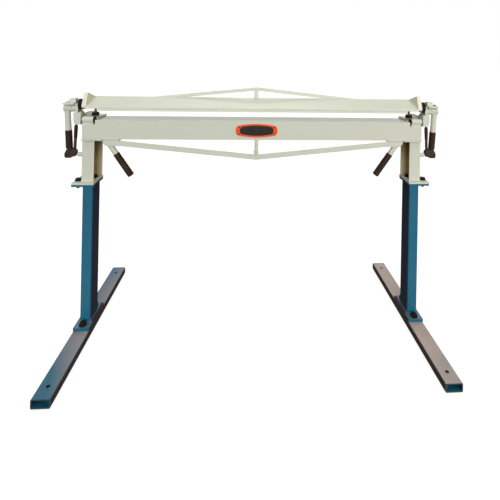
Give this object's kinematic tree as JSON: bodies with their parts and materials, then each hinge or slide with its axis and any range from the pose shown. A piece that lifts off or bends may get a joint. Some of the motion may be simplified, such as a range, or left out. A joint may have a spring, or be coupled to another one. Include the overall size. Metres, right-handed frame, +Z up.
{
  "type": "manual sheet metal brake",
  "caption": "Floor-standing hand brake that clamps sheet metal under a lever-closed beam and folds it with a hinged apron.",
  "frame": {"origin": "on the floor, under the middle of the machine", "axes": "+Z up, +X along the bed to the right of the user, who stands at -Y"},
  "size_m": [1.512, 0.77, 0.952],
  "materials": {
    "cream_paint": "satin enamel",
    "blue_paint": "gloss enamel",
    "black_steel": "black oxide",
    "bright_steel": "ground steel",
    "black_grip": "matt moulded rubber",
    "black_catch": "black painted casting",
    "badge": "printed enamel badge"
  },
  "bodies": {
    "stand": {"foot_left": "blue_paint", "foot_right": "blue_paint", "base_plate_left": "blue_paint", "base_plate_right": "blue_paint", "base_bolts": "black_steel", "post_left": "blue_paint", "post_right": "blue_paint", "lower_joint_plate_left": "blue_paint", "lower_joint_plate_right": "blue_paint", "upper_joint_plate_left": "cream_paint", "upper_joint_plate_right": "cream_paint", "joint_bolts": "black_steel", "head_channel_left": "cream_paint", "head_channel_right": "cream_paint", "keeper_pins": "cream_paint", "top_plate_left": "cream_paint", "top_plate_right": "cream_paint", "bed_beam": "cream_paint", "bed_plate": "cream_paint", "lug_plate_left": "cream_paint", "lug_plate_right": "cream_paint", "guide_bushes": "black_steel", "side_bracket_left": "cream_paint", "side_bracket_right": "cream_paint", "hinge_pins": "bright_steel"},
    "apron": {"apron_plate": "cream_paint", "hinge_barrel_left": "cream_paint", "hinge_barrel_right": "cream_paint", "apron_lug_left": "cream_paint", "apron_lug_right": "cream_paint", "apron_truss_left": "cream_paint", "apron_truss_right": "cream_paint", "apron_strut": "cream_paint", "handle_tube_left": "cream_paint", "handle_tube_right": "cream_paint", "handle_grip_left": "black_grip", "handle_grip_right": "black_grip", "nameplate": "badge", "nameplate_rivets": "bright_steel"},
    "clamp_beam": {"clamp_leaf": "cream_paint", "nose_bar": "cream_paint", "end_plate_left": "cream_paint", "end_plate_right": "cream_paint", "guide_pins": "bright_steel", "clamp_truss_left": "cream_paint", "clamp_truss_right": "cream_paint", "clamp_strut": "cream_paint"},
    "lever_left": {"cam_shaft_left": "black_steel", "clamp_lever_left": "cream_paint", "lever_grip_left": "black_grip", "stop_plate_left": "cream_paint", "latch_bracket_left": "black_catch"},
    "lever_right": {"cam_shaft_right": "black_steel", "clamp_lever_right": "cream_paint", "lever_grip_right": "black_grip", "stop_plate_right": "cream_paint", "latch_bracket_right": "black_catch"},
    "trigger_left": {"trigger_left": "black_catch"},
    "trigger_right": {"trigger_right": "black_catch"}
  },
  "joints": [
    {"name": "apron_swing", "type": "hinge", "parent": "stand", "child": "apron", "pos_m": [0, -0.056, 0.829], "axis": [-1, 0, 0], "range_deg": [0, 135]},
    {"name": "clamp_close", "type": "slide", "parent": "stand", "child": "clamp_beam", "axis": [0, 0, -1], "range_m": [0, 0.033]},
    {"name": "left_lever_swing", "type": "hinge", "parent": "stand", "child": "lever_left", "pos_m": [-0.74, -0.012, 0.867], "axis": [-1, 0, 0], "range_deg": [0, 180]},
    {"name": "right_lever_swing", "type": "hinge", "parent": "stand", "child": "lever_right", "pos_m": [0.74, -0.012, 0.867], "axis": [-1, 0, 0], "range_deg": [0, 180]},
    {"name": "left_trigger_squeeze", "type": "hinge", "parent": "lever_left", "child": "trigger_left", "pos_m": [-0.74351, -0.012, 0.682], "axis": [0, -1, 0], "range_deg": [0, 4], "stiffness_Nm_per_rad": 0.6, "springref_deg": -5.73},
    {"name": "right_trigger_squeeze", "type": "hinge", "parent": "lever_right", "child": "trigger_right", "pos_m": [0.74351, -0.012, 0.682], "axis": [0, 1, 0], "range_deg": [0, 4], "stiffness_Nm_per_rad": 0.6, "springref_deg": -5.73}
  ],
  "couplings": [
    {"joint": "clamp_close", "follows": "left_lever_swing", "m_per_rad": 0.010503},
    {"joint": "right_lever_swing", "follows": "left_lever_swing", "ratio": 1}
  ]
}
